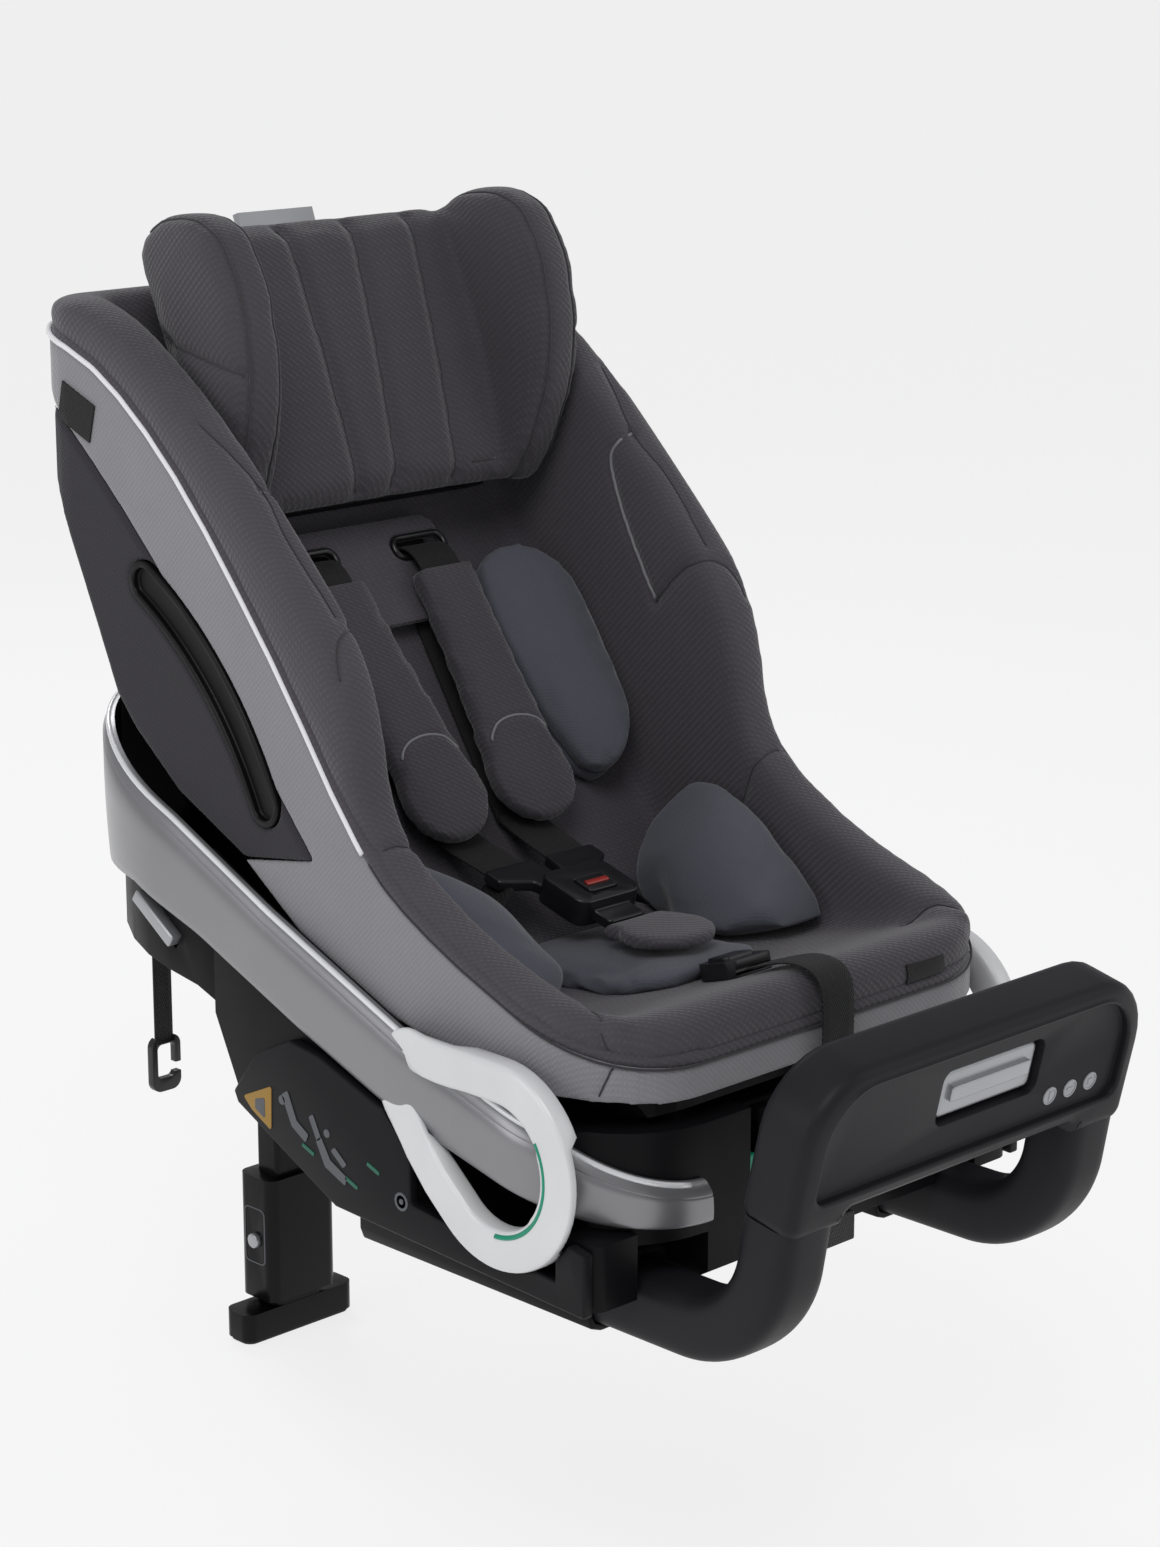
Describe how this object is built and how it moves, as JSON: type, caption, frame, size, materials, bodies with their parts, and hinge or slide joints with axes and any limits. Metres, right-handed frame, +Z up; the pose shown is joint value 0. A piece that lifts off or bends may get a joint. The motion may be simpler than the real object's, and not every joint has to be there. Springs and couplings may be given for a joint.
{
  "type": "child car seat",
  "caption": "Rear-facing child car seat on its own base, with harness, sliding headrest, reclining shell, folding support leg and rebound bar.",
  "frame": {"origin": "centre of the base's resting face on the vehicle seat", "axes": "+X is across the seat; -Y is towards the foot end with the rebound bar, +Y towards the head end with the support leg; +Z is up"},
  "size_m": [0.4472, 0.7346, 0.8858],
  "materials": {
    "base_plastic": "satin, fine texture",
    "steel": "zinc plated",
    "plate_plastic": "matte",
    "silver_plastic": "satin silver paint",
    "ring_white": "satin",
    "green_plastic": "matte",
    "handle_plastic": "matte",
    "webbing": "woven webbing",
    "strap_tip": "matte",
    "hook_metal": "black powder coat",
    "leg_plastic": "gloss",
    "leg_inner": "anodised",
    "sole_rubber": "matte",
    "bar_plastic": "fine texture",
    "icon_grey": "printed",
    "side_fabric": "plain weave",
    "trim_black": "matte",
    "silver_fabric": "melange weave",
    "seat_fabric": "diagonal weave",
    "insert_fabric": "smooth knit",
    "buckle_black": "satin",
    "button_red": "gloss"
  },
  "bodies": {
    "base": {"base_tray": "base_plastic", "head_housing": "base_plastic", "recline_rails": "steel", "side_plate_left": "plate_plastic", "side_plate_right": "plate_plastic", "silver_band": "silver_plastic", "belt_ring_left": "ring_white", "belt_ring_right": "ring_white", "ring_inlays": "green_plastic", "belt_guides": "green_plastic", "arm_sleeves": "base_plastic", "leg_bracket": "hook_metal", "leg_pivot_pin": "steel", "base_screws": "steel", "tether_strap_left": "webbing", "tether_strap_right": "webbing", "tether_hook_left": "hook_metal", "tether_hook_right": "hook_metal"},
    "recline_handle": {"recline_handle": "handle_plastic"},
    "strap_release_left": {"strap_release_left": "silver_plastic"},
    "strap_release_right": {"strap_release_right": "silver_plastic"},
    "seat": {"shell": "base_plastic", "shell_runners": "steel", "side_cover_left": "side_fabric", "side_cover_right": "side_fabric", "vent_trims": "trim_black", "silver_cover": "silver_fabric", "rim_cushion": "seat_fabric", "seat_liner": "seat_fabric", "lumbar_pad_left": "insert_fabric", "lumbar_pad_right": "insert_fabric", "hip_pad_left": "insert_fabric", "hip_pad_right": "insert_fabric", "seat_insert": "insert_fabric", "shoulder_straps": "webbing", "hip_straps": "webbing", "crotch_pad": "seat_fabric", "buckle": "buckle_black", "harness_adjuster": "buckle_black", "adjuster_strap": "webbing", "strap_end": "strap_tip"},
    "headrest": {"headrest_core": "base_plastic", "headrest_wings": "seat_fabric", "headrest_cushion": "seat_fabric", "harness_yoke": "seat_fabric", "shoulder_pads": "seat_fabric"},
    "headrest_handle": {"headrest_handle": "silver_plastic"},
    "buckle_button": {"buckle_button": "button_red"},
    "adjuster_button": {"adjuster_button": "buckle_black"},
    "rebound": {"rebound_arm_left": "bar_plastic", "rebound_arm_right": "bar_plastic", "rebound_panel": "bar_plastic", "panel_face": "bar_plastic", "icon_discs": "icon_grey"},
    "release_handle": {"release_handle": "silver_plastic"},
    "leg": {"leg_tube": "leg_plastic"},
    "leg_button": {"leg_button": "silver_plastic"},
    "foot": {"leg_inner_tube": "leg_inner", "leg_foot": "leg_plastic", "foot_sole": "sole_rubber"}
  },
  "joints": [
    {"name": "recline", "type": "hinge", "parent": "base", "child": "seat", "pos_m": [0, -0.1, 0.68], "axis": [1, 0, 0], "range_deg": [0, 14], "deforming": ["adjuster_strap", "strap_end"]},
    {"name": "recline_handle_pull", "type": "hinge", "parent": "base", "child": "recline_handle", "pos_m": [0, -0.2, 0.146], "axis": [-1, 0, 0], "range_deg": [0, 12], "stiffness_Nm_per_rad": 1.6},
    {"name": "strap_release_left_press", "type": "slide", "parent": "base", "child": "strap_release_left", "axis": [1, 0, 0], "range_m": [0, 0.0025], "stiffness_N_per_m": 900},
    {"name": "strap_release_right_press", "type": "slide", "parent": "base", "child": "strap_release_right", "axis": [-1, 0, 0], "range_m": [0, 0.0025], "stiffness_N_per_m": 900},
    {"name": "headrest_height", "type": "slide", "parent": "seat", "child": "headrest", "axis": [0, 0.3746, 0.9272], "range_m": [0, 0.14]},
    {"name": "headrest_handle_squeeze", "type": "slide", "parent": "headrest", "child": "headrest_handle", "axis": [0, -0.9397, 0.342], "range_m": [0, 0.003], "stiffness_N_per_m": 700},
    {"name": "buckle_press", "type": "slide", "parent": "seat", "child": "buckle_button", "axis": [0, 0.2756, -0.9613], "range_m": [0, 0.003], "stiffness_N_per_m": 2500},
    {"name": "adjuster_press", "type": "slide", "parent": "seat", "child": "adjuster_button", "axis": [0, -0.2756, -0.9613], "range_m": [0, 0.004], "stiffness_N_per_m": 2000},
    {"name": "rebound_bar", "type": "slide", "parent": "base", "child": "rebound", "axis": [0, 1, 0], "range_m": [0, 0.05]},
    {"name": "rebound_release", "type": "slide", "parent": "rebound", "child": "release_handle", "axis": [0, 0.9744, 0.225], "range_m": [0, 0.005], "stiffness_N_per_m": 1200},
    {"name": "leg_fold", "type": "hinge", "parent": "base", "child": "leg", "pos_m": [0, 0.325, 0.112], "axis": [1, 0, 0], "range_deg": [-85, 0]},
    {"name": "leg_button_press", "type": "slide", "parent": "leg", "child": "leg_button", "axis": [1, 0, 0], "range_m": [0, 0.003], "stiffness_N_per_m": 1500},
    {"name": "leg_length", "type": "slide", "parent": "leg", "child": "foot", "axis": [0, 0, -1], "range_m": [0, 0.17]}
  ]
}
